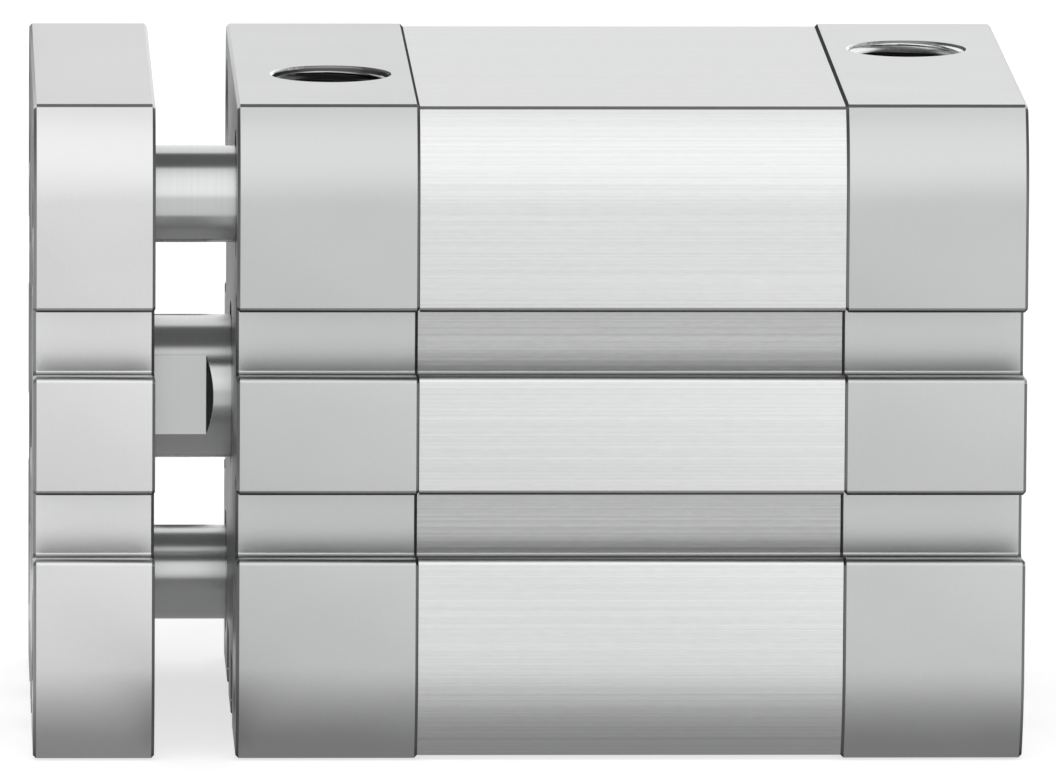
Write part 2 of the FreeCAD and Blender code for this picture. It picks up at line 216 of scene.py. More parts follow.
satin = {
    "coverColour": (0.530, 0.538, 0.534), "yokeColour": (0.650, 0.656, 0.652),
    "grainWaves": (5200, 5200, 5200), "cloudWaves": (70, 110, 110), "grainShare": 0.6,
    "toneRange": (0.5, 1.1), "variation": 0.035, "roughness": (0.33, 0.42), "bump": 0.10,
    "bumpDepth": 0.00003, "paintedShadeLevel": 0.42, "paintedShadeGloss": 0.05,
}


def satinAluminium(name, colour):
    # blasted and anodised: a fine even grain and faint clouds in the tone; painted shade darkens broken
    # edges and hollows, and painted light lightens where the face mark is below zero
    material, tree, shader = newMaterial(name)
    grain = patternNoise(tree, satin["grainWaves"], 3.0)
    cloud = patternNoise(tree, satin["cloudWaves"], 2.0)
    tone = mixedSum(tree, cloud, grain, satin["grainShare"])
    surface = tinted(tree, tone, *around(colour, satin["variation"]), *satin["toneRange"])
    paintedShadeColours(tree, shader, surface, shade(colour, satin["paintedShadeLevel"]), satin["paintedShadeGloss"])
    rough = spread(tree, tone, *satin["roughness"], *satin["toneRange"])
    tree.links.new(rough, shader.inputs["Roughness"])
    shader.inputs["Metallic"].default_value = 1.0
    bumpInto(tree, shader, grain, satin["bump"], satin["bumpDepth"])
    return material


brushed = {
    "colour": (0.68, 0.684, 0.684), "lineWaves": (4, 6400, 6400), "bandWaves": (5, 420, 420),
    "grainWaves": (900, 5200, 5200), "bandShare": 0.15, "grainShare": 0.3, "meanTone": 0.725,
    "toneReach": 0.5, "variation": 0.19, "roughness": (0.31, 0.38), "anisotropy": 0.45, "bump": 0.07,
    "bumpDepth": 0.00003, "bumpGrain": 0.5, "paintedShadeLevel": 0.4, "paintedShadeGloss": 0.05,
}


def brushedAluminium():
    # drawn profile: fine lines along the barrel, as strong on each face as its lineDepth attribute
    material, tree, shader = newMaterial("barrelBrushed")
    mean, reach = brushed["meanTone"], brushed["toneReach"]
    line = patternNoise(tree, brushed["lineWaves"], 3.0, 0.6)
    band = patternNoise(tree, brushed["bandWaves"], 2.0)
    grain = patternNoise(tree, brushed["grainWaves"], 2.0)
    tone = mixedSum(tree, mixedSum(tree, line, band, brushed["bandShare"]), grain, brushed["grainShare"])
    depth = addNode(tree, "ShaderNodeAttribute", {"attribute_name": "lineDepth"}).outputs["Fac"]
    offMean = addNode(tree, "ShaderNodeMath", {"operation": "SUBTRACT"}, {0: tone, 1: mean}).outputs[0]
    shown = mixedSum(tree, mean, offMean, depth)
    colour = brushed["colour"]
    surface = tinted(tree, shown, *around(colour, brushed["variation"]), mean - reach, mean + reach)
    # marked faces get painted shade, or painted light below zero, as on the satin finish
    paintedShadeColours(tree, shader, surface, shade(colour, brushed["paintedShadeLevel"]), brushed["paintedShadeGloss"])
    rough = spread(tree, tone, *brushed["roughness"], mean - reach / 2, mean + reach / 2)
    tree.links.new(rough, shader.inputs["Roughness"])
    shader.inputs["Metallic"].default_value = 1.0
    shader.inputs["Anisotropic"].default_value = brushed["anisotropy"]
    tangent = addNode(tree, "ShaderNodeTangent", {"direction_type": "RADIAL", "axis": "X"})
    tree.links.new(tangent.outputs["Tangent"], shader.inputs["Tangent"])
    relief = mixedSum(tree, line, grain, brushed["bumpGrain"])
    bumpInto(tree, shader, relief, brushed["bump"], brushed["bumpDepth"])
    return material


ground = {
    "colour": (0.535, 0.54, 0.54), "ringWaves": (5200, 60, 60), "smudgeWaves": (60, 90, 90),
    "toneRange": (0.7, 1.3), "roughness": (0.16, 0.23), "variation": 0.03, "bump": 0.03,
    "bumpDepth": 0.00002,
}


def groundSteel():
    # hard-chromed and ground: hair-fine rings round the rod and a little unevenness in the polish
    material, tree, shader = newMaterial("rodGround")
    ring = patternNoise(tree, ground["ringWaves"], 3.0, 0.6)
    smudge = patternNoise(tree, ground["smudgeWaves"], 3.0)
    tone = mixedSum(tree, ring, smudge, 1.0)
    surface = tinted(tree, tone, *around(ground["colour"], ground["variation"]), *ground["toneRange"])
    tree.links.new(surface, shader.inputs["Base Color"])
    tree.links.new(spread(tree, smudge, *ground["roughness"]), shader.inputs["Roughness"])
    shader.inputs["Metallic"].default_value = 1.0
    bumpInto(tree, shader, ring, ground["bump"], ground["bumpDepth"])
    return material


grainDepth = 0.00003  # metres of relief in the finishes below
grained = {
    "screwZinc": {"colour": (0.50, 0.51, 0.52), "metal": 1.0, "waves": (2600, 2600, 2600),
                  "rough": (0.24, 0.40), "variation": 0.08, "bump": 0.08},
    "innerMilled": {"colour": (0.66, 0.66, 0.66), "metal": 1.0, "waves": (3800, 240, 240),
                    "rough": (0.28, 0.42), "variation": 0.05, "bump": 0.10},
    # the next finish is cut metal made dark as painted shade inside the threaded holes
    "threadShadedCut": {"colour": (0.15, 0.153, 0.153), "metal": 1.0, "waves": (3200, 3200, 3200),
                  "rough": (0.26, 0.40), "variation": 0.08, "bump": 0.08},
    "bushBronze": {"colour": (0.46, 0.29, 0.13), "metal": 1.0, "waves": (4200, 4200, 4200),
                   "rough": (0.34, 0.52), "variation": 0.14, "bump": 0.16},
    "sealRubber": {"colour": (0.022, 0.022, 0.023), "metal": 0.0, "waves": (3000, 3000, 3000),
                   "rough": (0.48, 0.66), "variation": 0.25, "bump": 0.20},
    "bandPlastic": {"colour": (0.07, 0.055, 0.04), "metal": 0.0, "waves": (2400, 2400, 2400),
                    "rough": (0.38, 0.55), "variation": 0.15, "bump": 0.12},
    "magnetBlack": {"colour": (0.035, 0.034, 0.036), "metal": 0.0, "waves": (5200, 5200, 5200),
                    "rough": (0.55, 0.75), "variation": 0.2, "bump": 0.25},
}


def grainedFinish(name):
    # one colour that a fine grain lightens and darkens, with the grain in roughness and relief too
    values = grained[name]
    material, tree, shader = newMaterial(name)
    grain = patternNoise(tree, values["waves"], 4.0, 0.6)
    surface = tinted(tree, grain, *around(values["colour"], values["variation"]))
    tree.links.new(surface, shader.inputs["Base Color"])
    tree.links.new(spread(tree, grain, *values["rough"]), shader.inputs["Roughness"])
    shader.inputs["Metallic"].default_value = values["metal"]
    bumpInto(tree, shader, grain, values["bump"], grainDepth)
    return material


# each port has its own depth where the painted shade sets in
portCut = {
    "colour": (0.74, 0.745, 0.745), "deep": (0.05, 0.051, 0.051),
    "frontFade": (0.40 * mm, 0.62 * mm), "rearFade": (0.55 * mm, 0.95 * mm), "waves": (3200, 3200, 3200),
    "rough": (0.17, 0.25), "variation": 0.06, "bump": 0.02, "bumpDepth": 0.00003,
}


def portCutFinish(name, top, fade):
    # bright cut metal at the port's mouth, with painted shade that darkens it with the depth below the top
    # face
    material, tree, shader = newMaterial(name)
    grain = patternNoise(tree, portCut["waves"], 4.0, 0.6)
    cut = tinted(tree, grain, *around(portCut["colour"], portCut["variation"]))
    place = addNode(tree, "ShaderNodeTexCoord").outputs["Object"]
    height = addNode(tree, "ShaderNodeSeparateXYZ", {}, {0: place}).outputs["Z"]
    paintedDeepShare = spread(tree, height, 1.0, 0.0, top - fade[1], top - fade[0])
    colour = addNode(tree, "ShaderNodeMix", {"data_type": "RGBA"},
                     {0: paintedDeepShare, 6: cut, 7: (*portCut["deep"], 1.0)})
    tree.links.new(colour.outputs[2], shader.inputs["Base Color"])
    tree.links.new(spread(tree, grain, *portCut["rough"]), shader.inputs["Roughness"])
    shader.inputs["Metallic"].default_value = 1.0
    bumpInto(tree, shader, grain, portCut["bump"], portCut["bumpDepth"])
    return material


coverFinish = satinAluminium("coverSatin", satin["coverColour"])
yokeFinish = satinAluminium("yokeSatin", satin["yokeColour"])
barrelFinish = brushedAluminium()
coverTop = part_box("front_cover")[1].z
frontPortFinish = portCutFinish("frontPortCut", coverTop, portCut["frontFade"])
rearPortFinish = portCutFinish("rearPortCut", coverTop, portCut["rearFade"])
rodFinish = groundSteel()
finishes = {name: grainedFinish(name) for name in grained}
slotFinish = {
    "cover_aluminium": coverFinish, "barrel_aluminium": barrelFinish, "rod_steel": rodFinish,
    "inner_aluminium": finishes["innerMilled"], "screw_steel": finishes["screwZinc"],
    "bush_bronze": finishes["bushBronze"], "seal_rubber": finishes["sealRubber"],
    "band_plastic": finishes["bandPlastic"], "magnet_black": finishes["magnetBlack"],
}
print("finishes made for", ", ".join(slotFinish))

# every node of the frame takes the finish of its slot
for entry in frame["record"]["subparts"]:
    frame["nodes"][entry["node"]].data.materials.clear()
    frame["nodes"][entry["node"]].data.materials.append(slotFinish[entry["material_slot"]])


# Barrel, covers and yoke plate: their own solids, welded and shaded smooth

# the Shade values are shares of painted shade; rimShades below zero is a painted highlight
profileBody = {
    "sharpAngle": 52, "faceWeight": 75, "skin": 0.02 * mm, "edgeReach": 0.6 * mm, "endSlope": (0.5, 0.93),
    "longSlope": (0.8, 0.93), "longShade": 0.8, "slotReach": 12.0 * mm, "mouthBreak": 0.42 * mm,
    "mouthShade": 0.9, "lipLevel": 25.8 * mm, "floorLevel": 21.82 * mm, "slotEnd": 21.7 * mm,
    "portReach": 5.1 * mm, "portShade": 1.0, "wallSlope": 0.3, "rimSlope": 0.8, "rimTurn": (-0.5, -0.3),
    "rimShades": (-1.4, 1.0), "alongX": 0.1, "facingUp": 0.5, "flatTop": 0.99,
}
# top, groove and inner are shares of painted shade (painted light below zero) on the top faces, in the
# slots and on their inner walls; freeEnds are ends that lie in no joint and get no painted joint shade on
# top, grooveLines is the strength of the drawn lines inside the slots
profiles = {
    "barrel": {"name": "barrel_profile", "body": "cylinder_body", "slot": "barrel_aluminium",
               "finish": barrelFinish, "top": 0.045, "groove": 0.40, "inner": 1.0, "freeEnds": (),
               "grooveLines": 2.3},
    "front_cover": {"name": "front_cover_body", "body": "cylinder_body", "slot": "cover_aluminium",
                    "finish": coverFinish, "top": -0.06, "groove": -0.10, "inner": 0.9, "freeEnds": (1,)},
    "rear_cover": {"name": "rear_cover_body", "body": "cylinder_body", "slot": "cover_aluminium",
                   "finish": coverFinish, "top": -0.19, "groove": -0.10, "inner": 0.9, "freeEnds": (-1,)},
    "yoke_plate": {"name": "yoke_plate_body", "body": "yoke_carriage", "slot": "cover_aluminium",
                   "finish": yokeFinish, "top": 0.09, "groove": -0.10, "inner": 0.9, "freeEnds": (1, -1)},
}


def faceArray(mesh, name):
    values = np.empty(len(mesh.polygons) * 3)
    mesh.polygons.foreach_get(name, values)
    return values.reshape(-1, 3)


def crispBorders(mesh, kinds):
    # an edge between faces of different kinds is sharp
    edges = np.empty(len(mesh.loops), np.int64)
    mesh.loops.foreach_get("edge_index", edges)
    lowest = np.full(len(mesh.edges), kinds.max())
    highest = np.zeros(len(mesh.edges), kinds.dtype)
    np.minimum.at(lowest, edges, np.repeat(kinds, 3))
    np.maximum.at(highest, edges, np.repeat(kinds, 3))
    sharp = np.empty(len(mesh.edges), bool)
    mesh.edges.foreach_get("use_edge_sharp", sharp)
    mesh.edges.foreach_set("use_edge_sharp", sharp | (lowest != highest))


def faceMark(mesh, name, values):
    mark = mesh.attributes.new(name, "FLOAT", "FACE")
    mark.data.foreach_set("value", values.astype(np.float32))


def profilePiece(node):
    # a welded copy of the node with marks on its faces: one is the share of painted shade, most on breaks
    # and inner walls and least on open faces, and painted light below zero; lineDepth is the strength of
    # the drawn lines
    v, own = profileBody, profiles[node]
    source = frame["nodes"][node].data
    points = np.empty(len(source.vertices) * 3)
    source.vertices.foreach_get("co", points)
    source.calc_loop_triangles()
    triangles = np.empty(len(source.loop_triangles) * 3, np.int64)
    source.loop_triangles.foreach_get("vertices", triangles)
    piece = meshFrom(own["name"], points.reshape(-1, 3), triangles.reshape(-1, 3), v["sharpAngle"])
    mesh = piece.data
    normal, centre = faceArray(mesh, "normal"), faceArray(mesh, "center")
    slope, away = np.abs(normal), np.abs(centre[:, 1:])
    up = normal[:, 2]
    level = away.max(axis=1)
    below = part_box(node)[1].z - level
    lengthwise = slope[:, 0] < v["alongX"]
    endBreak = (slope[:, 0] > v["endSlope"][0]) & (slope[:, 0] < v["endSlope"][1])
    freeTop = endBreak & (up > v["facingUp"]) & np.isin(np.sign(normal[:, 0]), own["freeEnds"])
    longBreak = lengthwise & (slope[:, 2] > v["longSlope"][0]) & (slope[:, 2] < v["longSlope"][1])
    longBreak &= below < v["edgeReach"]
    inSlot = lengthwise & (away.min(axis=1) < v["slotReach"]) & (level > v["slotEnd"])
    lowMouth = inSlot & (below > v["skin"]) & (below < v["mouthBreak"]) & (up < -v["facingUp"])
    groove = inSlot & (below > v["mouthBreak"])
    inner = groove & (level < v["lipLevel"]) & (level > v["floorLevel"])
    ports = [mountNamed(port)["pos_m"] for port in ("front_port", "rear_port")]
    near = [np.hypot(centre[:, 0] - port[0], centre[:, 1] - port[1]) < v["portReach"] for port in ports]
    inPort = (near[0] | near[1]) & (slope[:, 2] < v["rimSlope"]) & (centre[:, 2] > 0)
    portWall = inPort & (slope[:, 2] < v["wallSlope"])
    # painted highlight on the rim where it looks to -X, painted shade on the rest of the rim
    rimPaintedLight = np.interp(normal[:, 0], v["rimTurn"], v["rimShades"])  # light where the rim looks to -X
    onTop = (up > v["flatTop"]) & (below < v["skin"])
    crispBorders(mesh, np.select([endBreak, longBreak, inPort], [1, 2, 3], 0))
    # painted shade on port walls, joint and top long breaks, downward mouth breaks and slot walls; painted
    # light or shade on tops and in slots
    faceMark(mesh, "paintedLightMark", np.select(
        [portWall, inPort, freeTop, endBreak, longBreak & (up > 0), onTop, lowMouth, inner, groove],
        [v["portShade"], rimPaintedLight, 0.0, 1.0, v["longShade"], own["top"], v["mouthShade"], own["inner"],
         own["groove"]], 0.0))
    if "grooveLines" in own:
        faceMark(mesh, "lineDepth", np.select([groove, lengthwise], [own["grooveLines"], 1.0], 0.0))
    weighted = piece.modifiers.new("faceWeighted", "WEIGHTED_NORMAL")
    weighted.keep_sharp = True
    weighted.weight = v["faceWeight"]
    return finishPiece(piece, own["body"], own["slot"], own["finish"], node)


for node in profiles:
    profilePiece(node)
print("barrel, covers and yoke plate made")


# Guide rods: turned, with a broken rear end and a thread bore in front

guideRod = {"columns": 160, "rearBreak": 0.5 * mm, "bore": 5.0 * mm, "boreDepth": 12.0 * mm,
            "sharpAngle": 30}


def guideRodPiece(node):
    # a profile from the rear centre over the outside into the front bore, turned about the rod's axis
    low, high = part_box(node)
    radius = (high.y - low.y) / 2
    centre = ((high.y + low.y) / 2, (high.z + low.z) / 2)
    edge = guideRod["rearBreak"]
    bore = guideRod["bore"] / 2
    floor = high.x - guideRod["boreDepth"]
    profile = [(low.x, 0), (low.x, radius - edge), (low.x + edge, radius), (high.x, radius),
               (high.x, bore), (floor, bore), (floor, 0)]
    piece = meshFrom(node + "_turned", *roundGrid(turnedRows(profile, guideRod["columns"], centre)),
                     guideRod["sharpAngle"])
    return finishPiece(piece, "yoke_carriage", "rod_steel", rodFinish, node)


guideRodPiece("upper_guide_rod")
guideRodPiece("lower_guide_rod")


# Piston rod: turned, with two spanner flats that run out on a slope

pistonRod = {
    "diameter": 12.0 * mm, "flats": 10.0 * mm, "flatLength": 4.56 * mm, "runOut": 0.6 * mm,
    "runOutLead": 0.05 * mm, "runOutRows": 24, "spigot": 8.0 * mm, "spigotEnd": 27.5 * mm,
    "rearBore": 5.0 * mm, "rearBoreDepth": 9.9 * mm, "frontBore": 8.0 * mm, "frontBoreDepth": 14.0 * mm,
    "axisRadius": 1e-9, "flatColumns": 48, "roundColumns": 60, "sharpAngle": 12,
}


def flattedRing(x, radius, halfFlats):
    # one ring: a circle pressed in to y = halfFlats on both sides, with finer columns where the flats lie
    reach = math.acos(pistonRod["flats"] / pistonRod["diameter"])
    flat = np.linspace(-reach, reach, pistonRod["flatColumns"], endpoint=False)
    arc = np.linspace(reach, math.pi - reach, pistonRod["roundColumns"], endpoint=False)
    turn = np.concatenate([flat, arc, flat + math.pi, arc + math.pi])
    y = np.clip(radius * np.cos(turn), -halfFlats, halfFlats)
    return np.stack([np.full_like(turn, x), y, radius * np.sin(turn)], axis=-1)


def pistonRodPiece():
    # rings from the floor of the rear bore over the outside to the floor of the front bore
    low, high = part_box("piston_rod")
    v = pistonRod
    radius = v["diameter"] / 2
    flatEnd = high.x - v["flatLength"]
    rearFloor = low.x + v["rearBoreDepth"]
    frontFloor = high.x - v["frontBoreDepth"]
    rearBore, frontBore, spigot = v["rearBore"] / 2, v["frontBore"] / 2, v["spigot"] / 2
    pole = v["axisRadius"]
    press = v["flats"] / 2 - radius
    share = np.linspace(0, 1, v["runOutRows"])
    stations = [(rearFloor, pole, None), (rearFloor, rearBore, None), (low.x, rearBore, None),
                (low.x, spigot, None), (v["spigotEnd"], spigot, None), (v["spigotEnd"], radius, None),
                (flatEnd - v["runOut"] - v["runOutLead"], radius, None)]
    stations += [(flatEnd - v["runOut"] * (1 - s), radius, radius + press * s) for s in share]
    stations += [(high.x, radius, v["flats"] / 2), (high.x, frontBore, None),
                 (frontFloor, frontBore, None), (frontFloor, pole, None)]
    rows = np.stack([flattedRing(x, r, r if flats is None else flats) for x, r, flats in stations])
    piece = meshFrom("piston_rod_turned", *roundGrid(rows), v["sharpAngle"])
    return finishPiece(piece, "yoke_carriage", "rod_steel", rodFinish, "piston_rod")


pistonRodPiece()
print("rods made")


# Internal threads: sleeves whose ridge climbs by one pitch a turn

threads = {
    "port": {"pitch": 0.907 * mm, "ridge": 0.58 * mm, "frontStart": 0.45 * mm, "rearStart": 0.2 * mm,
             "columns": 120},
    "payload": {"pitch": 0.8 * mm, "ridge": 0.43 * mm, "start": 0.32 * mm, "endGap": 0.1 * mm,
                "columns": 48},
    "mounting": {"pitch": 1.0 * mm, "ridge": 0.54 * mm, "start": 0.05 * mm, "columns": 48},
    "rowsPerPitch": 12, "spareTurns": 2.2, "flank": 2.4, "root": 0.1, "rootGap": 0.03 * mm,
    "wall": 0.12 * mm, "leadIn": 0.3, "sharpAngle": 40,
}


def threadSleeve(kind, radius, length, place, inward, across):
    # row i and column j lie at depth pitch * (i / rows - 1 + j / columns); the ridge height is a trapezium
    # over one pitch and fades out at both ends; place, inward and across set the sleeve in the hole
    v = threads[kind]
    rowsPerPitch, columns, pitch = threads["rowsPerPitch"], v["columns"], v["pitch"]
    count = math.ceil(rowsPerPitch * (length / pitch + threads["spareTurns"])) + 1
    i = np.arange(count)[:, None]
    j = np.arange(columns)[None, :]
    depth = np.clip(pitch * (i / rowsPerPitch - 1 + j / columns), 0, length)
    phase = (i / rowsPerPitch) % 1.0
    ridge = np.clip(threads["flank"] * (0.5 - np.abs(phase - 0.5)) - threads["root"], 0, 1)
    fade = np.clip(np.minimum(depth, length - depth) / (threads["leadIn"] * pitch), 0, 1)
    bore = radius - threads["rootGap"]
    reach = bore - v["ridge"] * ridge * fade
    turn = 2 * math.pi * j / columns
    inner = np.stack([reach * np.cos(turn), reach * np.sin(turn), depth], axis=-1)
    outerRadius = radius + threads["wall"]
    rim = np.stack([outerRadius * np.cos(turn), outerRadius * np.sin(turn)], axis=-1)[0]
    ends = [np.column_stack([rim, np.full(columns, end)]) for end in (length, 0.0)]
    local = np.concatenate([inner.reshape(-1, 3), *ends])
    rowIndex, columnIndex = np.meshgrid(np.arange(count - 1), np.arange(columns), indexing="ij")
    wraps = columnIndex == columns - 1
    nextColumn = np.where(wraps, 0, columnIndex + 1)
    nextRow = np.minimum(np.where(wraps, rowIndex + rowsPerPitch, rowIndex), count - 2)
    quads = np.stack([rowIndex * columns + columnIndex, (rowIndex + 1) * columns + columnIndex,
                      (nextRow + 1) * columns + nextColumn, nextRow * columns + nextColumn], axis=-1)
    column = np.arange(columns)
    after = (column + 1) % columns
    last, far, near = (count - 1) * columns, count * columns, (count + 1) * columns
    rings = [(last, far), (far, near), (near, 0)]
    walls = [np.stack([a + column, b + column, b + after, a + after], axis=-1) for a, b in rings]
    frameAxes = np.array([across, np.cross(inward, across), inward], float)
    points = np.asarray(place, float) + local @ frameAxes
    return points, splitQuads(np.concatenate([quads.reshape(-1, 4), *walls]))


def portThread(mountName, name, start, material):
    # one sleeve down the port, from start below the cover's top
    mount = mountNamed(mountName)
    radius = mount["dims"]["r_mm"] * mm
    place = (mount["pos_m"][0], mount["pos_m"][1], coverTop - start)
    length = mount["dims"]["length_mm"] * mm - start
    sleeve = threadSleeve("port", radius, length, place, (0, 0, -1), (1, 0, 0))
    piece = meshFrom(name, *sleeve, threads["sharpAngle"])
    return finishPiece(piece, "cylinder_body", "cover_aluminium", material)


def patternThreads(kind, mountName, name, depth, inward, body, slot, material):
    # four sleeves, one in each hole of the mount's square pattern
    mount = mountNamed(mountName)
    dims = mount["dims"]
    y, z = dims["spacing_x_mm"] * mm / 2, dims["spacing_y_mm"] * mm / 2
    start = threads[kind]["start"]
    x = mount["pos_m"][0] + inward * start
    sleeves = [threadSleeve(kind, dims["hole_r_mm"] * mm, depth - start, (x, sideY * y, sideZ * z),
                            (inward, 0, 0), (0, 1, 0)) for sideY in (1, -1) for sideZ in (1, -1)]
    piece = meshFrom(name, *joined(sleeves), threads["sharpAngle"])
    return finishPiece(piece, body, slot, material)


portThread("front_port", "front_port_thread", threads["port"]["frontStart"], frontPortFinish)
portThread("rear_port", "rear_port_thread", threads["port"]["rearStart"], rearPortFinish)
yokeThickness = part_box("yoke_plate")[1].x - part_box("yoke_plate")[0].x
payloadDepth = yokeThickness - threads["payload"]["endGap"]
patternThreads("payload", "yoke_payload_holes", "payload_threads", payloadDepth, -1,
               "yoke_carriage", "cover_aluminium", finishes["threadShadedCut"])
print("threads made")


# Screws: turned heads with hexagon sockets, rear heads with a threaded bore

screws = {
    "yoke_screw": {"head": 13.0 * mm, "headLength": 5.0 * mm, "shank": 7.9 * mm, "socket": 6.0 * mm,
                   "socketDepth": 3.0 * mm},
    "guide_rod_screws": {"head": 8.5 * mm, "headLength": 3.5 * mm, "shank": 4.9 * mm, "socket": 3.0 * mm,
                         "socketDepth": 2.1 * mm},
    "front_cover_screws": {"head": 8.4 * mm, "headLength": 5.0 * mm, "shank": 5.0 * mm, "socket": 4.0 * mm,
                           "socketDepth": 3.0 * mm},
    "columns": 144, "edge": 0.35 * mm, "edgeMiddle": 0.3, "tip": 0.5 * mm, "sinkSlope": math.radians(30),
    "sinkMargin": 1.04, "floorSlope": 0.3, "sharpAngle": 32,
}
rearScrew = {"head": 8.4 * mm, "headLength": 10.0 * mm, "shank": 5.0 * mm, "bore": 6.0 * mm,
             "boreDepth": 8.0 * mm, "edge": 0.3 * mm, "mouth": 0.45 * mm, "floorCone": 1.4 * mm,
             "columns": 96}


def hexagonReach(turn, acrossFlats):
    # distance from the centre to a hexagon's side in the direction turn
    sector = (turn + math.pi / 6) % (math.pi / 3) - math.pi / 6
    return acrossFlats / 2 / np.cos(sector)


def socketScrew(values, top, tip, centre):
    # rows from the shank's tip over the head to the middle of the socket; the socket's rows are hexagons
    # and its mouth is a countersink that bites lower in the flats than in the corners
    turn = np.linspace(0, 2 * math.pi, screws["columns"], endpoint=False)
    head, shank, edge = values["head"] / 2, values["shank"] / 2, screws["edge"]
    middle = edge * screws["edgeMiddle"]
    seat = top - values["headLength"]
    circles = [(tip, 0), (tip, shank - screws["tip"]), (tip + screws["tip"], shank), (seat, shank),
               (seat, head - edge / 2), (seat + edge / 2, head), (top - edge, head),
               (top - middle, head - middle), (top, head - edge)]
    corner = values["socket"] / math.sqrt(3) * screws["sinkMargin"]
    hexagon = hexagonReach(turn, values["socket"])
    mouth = top - (corner - hexagon) * math.tan(screws["sinkSlope"])
    floor = np.full_like(turn, top - values["socketDepth"])
    x = [np.full_like(turn, c[0]) for c in circles] + [np.full_like(turn, top), mouth, floor]
    r = [np.full_like(turn, c[1]) for c in circles] + [np.full_like(turn, corner), hexagon, hexagon]
    x.append(floor - values["socket"] / 2 * screws["floorSlope"])
    r.append(np.zeros_like(turn))
    x, r = np.array(x), np.array(r)
    rows = np.stack([x, centre[0] + r * np.cos(turn), centre[1] + r * np.sin(turn)], axis=-1)
    return roundGrid(rows)


def socketScrews(node, body, places):
    low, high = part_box(node)
    values = screws[node]
    parts = [socketScrew(values, high.x, low.x, centre) for centre in places]
    piece = meshFrom(node + "_turned", *joined(parts), screws["sharpAngle"])
    return finishPiece(piece, body, "screw_steel", finishes["screwZinc"], node)


def rearScrews(places):
    # a profile from the bore's floor over the head to the shank's tip, turned about each place
    low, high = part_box("rear_cover_screws")
    v = rearScrew
    head, shank, bore, edge = v["head"] / 2, v["shank"] / 2, v["bore"] / 2, v["edge"]
    floor = low.x + v["boreDepth"]
    seat = low.x + v["headLength"]
    profile = [(floor + v["floorCone"], 0), (floor, bore), (low.x + v["mouth"], bore),
               (low.x, bore + v["mouth"]), (low.x, head - edge), (low.x + edge, head), (seat, head),
               (seat, shank), (high.x - screws["tip"], shank), (high.x, shank - screws["tip"]), (high.x, 0)]
    parts = [roundGrid(turnedRows(profile, v["columns"], centre)) for centre in places]
    piece = meshFrom("rear_cover_screws_turned", *joined(parts), screws["sharpAngle"])
    return finishPiece(piece, "cylinder_body", "screw_steel", finishes["screwZinc"], "rear_cover_screws")


corner = mountNamed("rear_screw_holes")["dims"]["spacing_x_mm"] * mm / 2
socketScrews("yoke_screw", "yoke_carriage", [(0, 0)])
socketScrews("guide_rod_screws", "yoke_carriage", [(corner, corner), (-corner, -corner)])
socketScrews("front_cover_screws", "cylinder_body", [(corner, -corner), (-corner, corner)])
rearScrews([(y, z) for y in (corner, -corner) for z in (corner, -corner)])
patternThreads("mounting", "rear_screw_holes", "rear_screw_threads", rearScrew["boreDepth"], 1,
               "cylinder_body", "screw_steel", finishes["screwZinc"])
print("screws made")


# Wipers: rubber rings with a rounded lip on each rod

wiper = {"columns": 128, "lipPoints": 9, "lipHeight": 0.45, "rodLip": 1.4 * mm, "guideLip": 0.9 * mm,
         "runningGap": 0.05 * mm, "sharpAngle": 40}


def wiperPiece(node, inner, lipLength):
    # the lip is a half circle between the two ends of the inner face, leaning on the rod
    low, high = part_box(node)
    centre = ((high.y + low.y) / 2, (high.z + low.z) / 2)
    outer = (high.y - low.y) / 2
    swing = np.linspace(0, math.pi, wiper["lipPoints"])
    lipX = high.x - lipLength * (0.5 - 0.5 * np.cos(swing))
    lipR = inner + (outer - inner) * wiper["lipHeight"] * (1 - np.sin(swing))
    lip = list(zip(lipX, lipR))
    profile = [(low.x, outer), (high.x, outer)] + lip + [(low.x, lipR[-1]), (low.x, outer)]
    piece = meshFrom(node + "_ring", *roundGrid(turnedRows(profile, wiper["columns"], centre)[::-1]),
                     wiper["sharpAngle"])
    return finishPiece(piece, "cylinder_body", "seal_rubber", finishes["sealRubber"], node)


guideRadius = (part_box("upper_guide_rod")[1].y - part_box("upper_guide_rod")[0].y) / 2
wiperPiece("rod_wiper", pistonRod["diameter"] / 2 + wiper["runningGap"], wiper["rodLip"])
wiperPiece("upper_guide_wiper", guideRadius + wiper["runningGap"], wiper["guideLip"])
wiperPiece("lower_guide_wiper", guideRadius + wiper["runningGap"], wiper["guideLip"])
print("wipers made")


# Studio: a pale floor, a world of soft panels, and dark sheets and cards of painted shade that only
# reflections see

floorStage = {"size": 4.0, "gap": 0.2 * mm, "colour": (0.62, 0.62, 0.62), "lift": 0.65, "glossLift": 0.55}
underShade = {"gap": 0.1 * mm, "margin": 18 * mm, "level": 0.33}
rodShade = {"gap": 0.05 * mm, "margin": 2 * mm, "level": 0.25, "front": 66 * mm}
# upright cards behind the part that only reflections see: painted shade in what the faces reflect
sideCards = {"spans": [(65.6 * mm, 71.2 * mm, 22 * mm), (82.5 * mm, 125 * mm, 40 * mm)], "y": -70 * mm,
             "level": 0.05}
studio = {
    "panels": [(-180, 1.15), (-100, 0.5), (-8, 0.92), (-1, 1.18), (7, 1.42), (18, 1.48), (44, 1.40),
               (58, 1.22), (69, 1.05), (76, 0.165), (118, 0.165), (124, 1.14), (150, 1.19), (180, 1.15)],
    "sideFrom": 0.62, "sideTo": 0.9, "sideLevel": 0.40,
}


